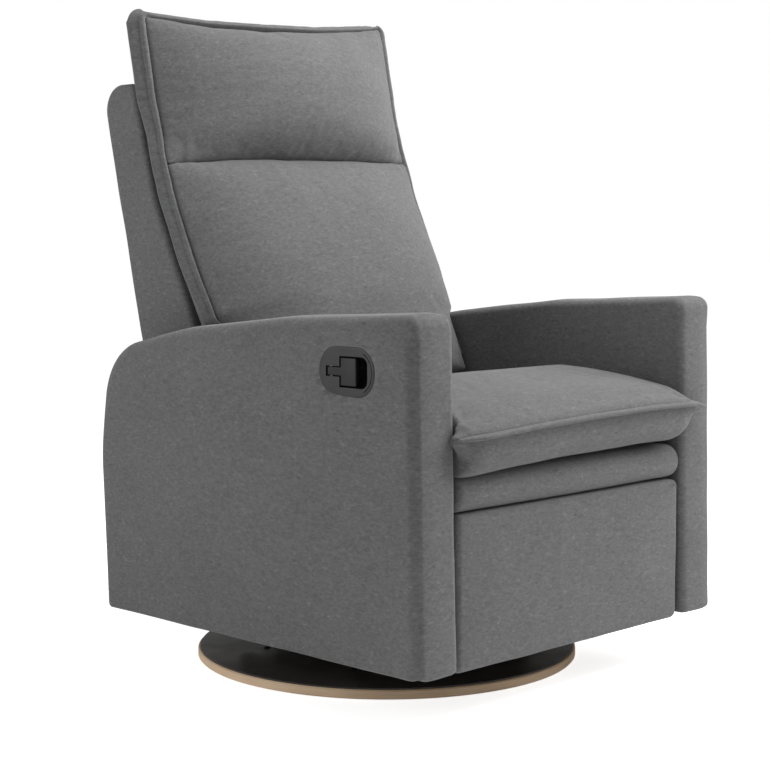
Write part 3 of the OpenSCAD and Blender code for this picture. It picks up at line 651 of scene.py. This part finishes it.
FOOT_W, FOOT_LOW, FOOT_HIGH = 0.2735, 0.081, 0.3155
foot_pad = padded_slab("footrest_cover", box_line(FOOT_W, FOOT_LOW, FOOT_HIGH, 0.012),
                       lambda p, h: (p[0], -0.383 - h, p[1]),
                       [(0.004, 0.0), (0.0, 0.004), (-0.0005, 0.012)] + quarter(0.010, 90, 0, 0.032, -1),
                       cloth, step=0.006, fill_rings=14)


def foot_shape(co, normal):
    """The footrest's front swells towards its middle."""
    edge = min(FOOT_W - 0.0015 - abs(co.x), co.z - FOOT_LOW - 0.002, FOOT_HIGH - 0.0005 - co.z)
    front = smooth01(-co.y, 0.400, 0.408)
    swell = 0.0032 * smooth01(edge, 0.0, 0.09)
    return Vector((0, -1, 0)) * front * swell + normal * 0.0009 * wobble(co, 0.07, 21)


displace(foot_pad, foot_shape)
finish_pad(foot_pad, "footrest", 0.85, "footrest_pad")

rear = padded_slab("rear_panel_cover", box_line(0.269, 0.092, 0.305, 0.008),
                   lambda p, h: (p[0], 0.271 + h, p[1]),
                   [(0.003, 0.0), (0.0, 0.003), (0.0, 0.010)] + quarter(0.006, 90, 0, 0.0175, -1),
                   cloth, step=0.008, fill_rings=8)
finish_pad(rear, "carriage", 0.9, "rear_panel")


# ---------------------------------------------------------------- back

# Sewn crease round the back cushions in the side view, from the seat up to the top, as (y, z)
edge_line = np.array([(0.043, 0.440), (0.0735, 0.500), (0.123, 0.598), (0.170, 0.691), (0.2153, 0.786),
                      (0.240, 0.857), (0.267, 0.945), (0.2896, 1.055), (0.2965, 1.090)])
edge_run = np.concatenate([[0], np.cumsum(np.linalg.norm(np.diff(edge_line, axis=0), axis=1))])


def edge_at(z):
    """Run up the crease at a height."""
    return float(np.interp(z, edge_line[:, 1], edge_run))


def height_at(run):
    return float(np.interp(run, edge_run, edge_line[:, 1]))


def chart(x, run, back):
    """Place at a distance run up the sewn edge, x across, and back behind it."""
    def at(s):
        return np.array([np.interp(s, edge_run, edge_line[:, 0]), np.interp(s, edge_run, edge_line[:, 1])])
    reach = 0.03
    slope = at(min(run + reach, edge_run[-1])) - at(max(run - reach, 0))
    slope /= np.linalg.norm(slope)
    over = max(0.0, run - edge_run[-1])
    y, z = at(run) + slope * over + back * np.array([slope[1], -slope[0]])
    return (x, y, z)


def two_sided(name, low, high, half_w, front, rear_side, material, ns=44):
    """Cushion of two crowned faces sewn round their edge, ns faces up. front(a, b) and rear_side(a, b) give
    how far each face stands off the sewn edge, with a and b from -1 to 1 across and up. low(a) and high(a)
    are its lower and upper edge."""
    nx = 72
    def warp(t):
        return math.sin(t * math.pi / 2) * 0.65 + t * 0.35
    cols = [warp(-1 + 2 * i / nx) for i in range(nx + 1)]
    rows = [warp(-1 + 2 * j / ns) for j in range(ns + 1)]
    verts, faces = [], []
    for face in (0, 1):
        for b in rows:
            for a in cols:
                run = low(a) + (high(a) - low(a)) * (b + 1) / 2
                depth = 0.004 + rear_side(a, b) if face else -0.003 - front(a, b)
                verts.append(chart(a * half_w(run), run, depth))
    stride = nx + 1
    for face in (0, 1):
        base = face * stride * (ns + 1)
        for j in range(ns):
            for i in range(nx):
                a = base + j * stride + i
                faces.append((a, a + 1, a + 1 + stride, a + stride))
    # Strip round the rim, between the two faces
    rim = ([i for i in range(nx)] + [j * stride + nx for j in range(ns)]
           + [ns * stride + i for i in range(nx, 0, -1)] + [j * stride for j in range(ns, 0, -1)])
    other = stride * (ns + 1)
    faces += [(a, b, b + other, a + other) for a, b in zip(rim, rim[1:] + rim[:1])]
    return make_object(name, verts, faces, material)


# Run of the seam between the two cushions
SEAM = edge_at(0.853)
BACK_W = 0.308
# Height of the border's top edge across the back: its corners stand up
top_edge = table([(-0.308, 1.0985), (-0.27, 1.0965), (-0.155, 1.0935), (-0.011, 1.0972), (0.137, 1.1030),
                  (0.25, 1.113), (0.308, 1.121)])
TOP_BAND = 0.0085


def top_run(x):
    """Run at the border's top edge."""
    return edge_run[-1] + (top_edge(x) - edge_line[-1][1]) * 1.02


# How far the faces stand off the sewn edge, from the bottom (-1) to the top (1)
low_depth = table([(-1, 0.0), (-0.93, 0.018), (-0.8, 0.035), (-0.6, 0.052), (-0.35, 0.066), (-0.05, 0.071),
                   (0.25, 0.069), (0.5, 0.064), (0.7, 0.056), (0.85, 0.043), (0.93, 0.030), (0.975, 0.017),
                   (1, 0.0)])
head_depth = table([(-1, 0.0), (-0.97, 0.018), (-0.92, 0.031), (-0.82, 0.046), (-0.6, 0.063), (-0.3, 0.073),
                    (0.0, 0.076), (0.3, 0.071), (0.6, 0.056), (0.8, 0.038), (0.93, 0.020), (1, 0.0)])
head_rear = table([(-1, 0.0), (-0.98, 0.048), (-0.9, 0.062), (-0.8, 0.066), (-0.6, 0.069),
                   (-0.1, 0.071), (0.15, 0.078), (0.5, 0.083),
                   (0.75, 0.070), (0.9, 0.045), (1, 0.0)])
LOW_REAR = 0.066
seam_run = table([(-1, SEAM - 0.0125), (-0.5, SEAM - 0.006), (0, SEAM - 0.002), (1, SEAM)])


def crease_w(run):
    """Half the width between the sewn creases; below the arm tops the back fits between the arms."""
    z = height_at(run)
    return (0.2705 + 0.0125 * smooth01(z, 0.566, 0.584) + 0.006 * smooth01(z, 0.57, 0.68)
            - 0.004 * smooth01(z, 0.84, 0.90))


# The two cushions overlap by twice this at the seam
LAP = 0.001
low_cushion = two_sided("back_cushion_cover", lambda a: edge_at(0.47), lambda a: seam_run(a) + LAP, crease_w,
                        lambda a, b: 1.02 * low_depth(b) * crown(a, 3.0, 0.72),
                        lambda a, b: LOW_REAR * crown(a, 14, 0.5) * crown(b, 40, 0.5), cloth)
head_cushion = two_sided("head_pillow_cover", lambda a: seam_run(a) - LAP,
                         lambda a: top_run(a * BACK_W) - TOP_BAND, crease_w,
                         lambda a, b: 1.06 * head_depth(b) * crown(a, 2.1, 0.86),
                         lambda a, b: head_rear(b) * crown(a, 10, 0.5), cloth, ns=36)


def puckers(co, normal, seed):
    """Small gathers beside the seam across the back, most at its ends, and a slow wave over the cover."""
    reach = 0.03
    near = math.exp(-abs(co.z - height_at(seam_run(co.x / 0.285))) / reach)
    folds = wobble((co.x * 2.2, 0, co.z * 0.25), 0.034, seed)
    ends = 0.6 + 1.6 * smooth01(abs(co.x), 0.20, 0.27)
    return normal * (0.0017 * near * folds * ends + 0.0022 * wobble(co, 0.085, seed + 5))


displace(low_cushion, lambda co, n: puckers(co, n, 31))
displace(head_cushion, lambda co, n: puckers(co, n, 41))


# Sewn border round both cushions: a ridge beside the crease, falling back to a rounded outer edge
section = (arc(0.0, 0.004, 0.0046, 215, 60, 7)
           + [(0.0038, 0.0105), (0.0068, 0.0142), (0.0098, 0.0172), (0.0125, 0.0194), (0.0155, 0.0203),
              (0.0185, 0.0190), (0.0205, 0.0140), (0.0210, 0.0040), (0.0190, -0.0060), (0.0060, -0.0080)])
CORNER = 0.020
CORNER_STEPS = 8
CREASE_FOOT = edge_at(0.50)
# Heights of the near and far arm tops where the border passes them
NEAR_TOP, FAR_TOP = 0.572, 0.579


def border_size(z, arm_top):
    """Size of the border's section, less where it passes down between the arms."""
    return ((0.35 + 0.35 * smooth01(z, arm_top - 0.006, arm_top + 0.010) + 0.20 * smooth01(z, 0.57, 0.68))
            * (1 + 0.30 * smooth01(z, 0.86, 0.98)))


def border_stations():
    """(x, run, outward x, outward run, size) round the crease: up the right side, over, down the left."""
    inner = CORNER * 0.45
    stations = []
    for run in np.linspace(CREASE_FOOT, top_run(-BACK_W) - TOP_BAND - inner, 84):
        stations.append((-crease_w(run), run, -1.0, 0.0, border_size(height_at(run), NEAR_TOP)))
    wide = crease_w(edge_run[-1])
    for i in range(1, CORNER_STEPS):
        angle = math.radians(180 - 90 * i / CORNER_STEPS)
        stations.append((-wide + inner + inner * math.cos(angle),
                         top_run(-BACK_W) - TOP_BAND - inner + inner * math.sin(angle),
                         math.cos(angle), math.sin(angle), 1.10 - 0.35 * i / CORNER_STEPS))
    for x in np.linspace(-wide + inner, wide - inner, 70):
        stations.append((x, top_run(x * BACK_W / wide) - TOP_BAND, 0.0, 1.0, 0.62))
    for i in range(1, CORNER_STEPS):
        angle = math.radians(90 - 90 * i / CORNER_STEPS)
        stations.append((wide - inner + inner * math.cos(angle),
                         top_run(BACK_W) - TOP_BAND - inner + inner * math.sin(angle),
                         math.cos(angle), math.sin(angle), 0.75 + 0.35 * i / CORNER_STEPS))
    for run in np.linspace(top_run(BACK_W) - TOP_BAND - inner, CREASE_FOOT, 84):
        stations.append((crease_w(run), run, 1.0, 0.0, border_size(height_at(run), FAR_TOP)))
    return stations


border = loft("back_border", [[chart(x + v * size * out_x, run + v * size * out_run, u * (0.5 + 0.5 * size))
                               for u, v in section] for x, run, out_x, out_run, size in border_stations()],
              cloth_side)
displace(border, lambda co, n: n * 0.0007 * wobble(co, 0.022, 51))
finish_pad(border, "back", 0.9)

# Shell behind the cushions
SHELL_W, SHELL_EDGE = 0.273, 0.009
shell_line = [(0.264, 0.292, 0.006, 1), (0.334, 0.551, 0.3, 1), (0.437, 0.981, 0.044, 1),
              (0.345, 0.981, 0.016, 1), (0.289, 0.782, 0.3, 1), (0.205, 0.612, 0.3, 1),
              (0.165, 0.520, 0.10, 1), (0.150, 0.312, 0.01, 1)]
shell = padded_slab("back_shell_cover", shell_line, lambda p, h: (h, p[0], p[1]),
                    quarter(SHELL_EDGE, 0, 90, -SHELL_W, 1)
                    + [(-0.001, -0.18), (-0.0025, -0.09), (-0.003, 0.0), (-0.0025, 0.09), (-0.001, 0.18)]
                    + quarter(SHELL_EDGE, 90, 0, SHELL_W, -1), cloth_side, step=0.007, fill_rings=9)
displace(shell, lambda co, n: n * 0.0014 * wobble(co, 0.08, 61))
finish_pad(shell, "back", 0.9, "back_shell")


# ---------------------------------------------------------------- seat

# Front edge: height of its welt across the seat, and the cushion's profile above and below it
lip_z = table([(-0.318, 0.4310), (-0.28, 0.4330), (-0.13, 0.4405), (0.0, 0.4450), (0.155, 0.4475),
               (0.27, 0.4455), (0.318, 0.4360)])
rise_over = table([(-0.447, 0.001), (-0.443, 0.008), (-0.436, 0.0160), (-0.424, 0.026), (-0.410, 0.034),
                   (-0.395, 0.040), (-0.365, 0.048), (-0.325, 0.053), (-0.285, 0.0545), (-0.23, 0.049),
                   (-0.18, 0.042), (-0.12, 0.034), (-0.06, 0.026), (0.03, 0.012), (0.12, 0.0)])
side_over = table([(-0.447, 0.001), (-0.430, 0.009), (-0.400, 0.018), (-0.3, 0.021), (-0.1, 0.012),
                   (0.12, -0.012)])
# Half width between the arms and over their fronts, the back of the ears, and how much shorter the left is
SEAT_W, EAR_W, EAR_BACK, EAR_SHORT = 0.2715, 0.316, -0.4180, 0.014
# Height of the seat's side edges
SEAT_Z = 0.446
top_ys = [-0.447, -0.445, -0.441, -0.434, -0.424, -0.412, -0.398, -0.38, -0.355, -0.33, -0.302, -0.298,
          -0.25, -0.2, -0.15, -0.1, -0.05, 0.0, 0.05, 0.09, 0.12]
# Underside as (y, drop below the welt): the lip, the dark fold under it, the rounded front, the flat base
under = [(-0.4472, 0.0030), (-0.4462, 0.0080), (-0.4452, 0.0130), (-0.4450, 0.0180), (-0.4453, 0.0230),
         (-0.4450, 0.0290), (-0.4440, 0.0350), (-0.4415, 0.0430), (-0.4360, 0.0510), (-0.4260, 0.0590),
         (-0.4100, 0.0645), (-0.3900, 0.0665), (-0.3600, 0.0675), (-0.3020, 0.0680), (-0.2980, 0.0860),
         (-0.2000, 0.0860), (-0.1000, 0.0860), (0.0, 0.0860), (0.05, 0.0860), (0.09, 0.0860), (0.12, 0.0860)]


def seat_ring(x, ear):
    """Section of the seat cushion at x. In the ears it ends at the arm fronts and thins to a point."""
    across = abs(x)
    rise = crown(min(1.0, across / 0.283), 7, 0.62)
    end = smooth01(across, 0.245, 0.285) * (0.35 if x > 0 else 0.10)
    thin = 1.0 - smooth01(across, SEAT_W - 0.01, EAR_W) * 0.9
    swept = 0.014 * smooth01(across, 0.24, EAR_W)
    lip = lip_z(x)
    top, low = [], []
    def sweep(y):
        at = y + swept * (y < -0.42)
        return min(at, EAR_BACK) if ear else at

    for y in top_ys:
        at = sweep(y)
        base = lip + (SEAT_Z - lip) * smooth01(y, -0.43, -0.36)
        middle = 0.0 if ear else (rise_over(y) - side_over(y)) * rise
        top.append((x, at, base + side_over(at) * thin + middle))
    for y, drop in under:
        at = sweep(y)
        if at < -0.31 and drop > 0.012:
            drop = 0.012 + (drop - 0.012) * (1 - end)
        if ear:
            drop = min(drop, 0.036) * thin
        low.append((x, at, lip - drop))
    return top + low[::-1]


stations = [(x, True) for x in np.linspace(EAR_SHORT - EAR_W, -SEAT_W - 0.002, 12)]
stations += [(x, False) for x in np.linspace(-SEAT_W, SEAT_W, 81)]
stations += [(x, True) for x in np.linspace(SEAT_W + 0.002, EAR_W, 12)]
seat = loft("seat_cover", [seat_ring(x, ear) for x, ear in stations], cloth)
displace(seat, lambda co, n: n * 0.0016 * wobble(co, 0.09, 71))

VOXEL = 0.0055
for piece in (seat, low_cushion, head_cushion):
    remesh(piece, VOXEL)


def seat_held(co):
    """The front seam, the rear edge, the underside and the ears."""
    return 1.0 if co.y < -0.440 or co.y > 0.10 or co.z < 0.393 or abs(co.x) > 0.276 else 0.0


def back_held(co):
    """The sewn rim, and the rear face, which lies on the shell."""
    run = edge_at(co.z)
    gap = crease_w(run) - abs(co.x)
    rear_of = co.y - float(np.interp(co.z, edge_line[:, 1], edge_line[:, 0]))
    from_seam = abs(co.z - height_at(seam_run(co.x / 0.285)))
    return 1.0 if gap < 0.006 or rear_of > 0.012 or from_seam < 0.006 else 0.0


simulate([(seat, 2.5, 0.008, 0.001, seat_held), (low_cushion, 2.5, 0.009, 0.003, back_held),
          (head_cushion, 3.0, 0.010, 0.005, back_held)])
finish_pad(low_cushion, "back", 0.85, "back_cushion")
finish_pad(head_cushion, "back", 0.85, "head_pillow")
finish_pad(seat, "seat", 0.85, "seat_cushion")

welt_line = [(x, -0.4500 + 0.012 * smooth01(abs(x), 0.24, EAR_W), lip_z(x) - 0.0012)
             for x in np.linspace(EAR_SHORT - EAR_W, EAR_W, 90)]
welt = tube("seat_welt", welt_line, (0.0075, 0.0042), cloth)
finish_pad(welt, "seat", 0.9)


# ---------------------------------------------------------------- floor

# A pale floor, lit by the lights and seen near white by the camera
floor_mat, floor_tree, floor_shader = build_material("studio_floor", 0.9, Specular_IOR_Level=0.0)
floor_shader.inputs["Base Color"].default_value = (0.90, 0.90, 0.90, 1.0)
floor_shader.inputs["Emission Color"].default_value = (1.0, 1.0, 1.0, 1.0)
floor_seen = node(floor_tree, "ShaderNodeLightPath")
floor_tree.links.new(ramp(floor_tree, floor_seen.outputs["Is Camera Ray"], 0.0, 1.0,
                          FLOOR_GLOW, FLOOR_SEEN),
                     floor_shader.inputs["Emission Strength"])
FLOOR_R = 30
floor = make_object("studio_floor", [(-FLOOR_R, -FLOOR_R, 0), (FLOOR_R, -FLOOR_R, 0), (FLOOR_R, FLOOR_R, 0),
                                     (-FLOOR_R, FLOOR_R, 0)], [(0, 1, 2, 3)], floor_mat, smooth=False)
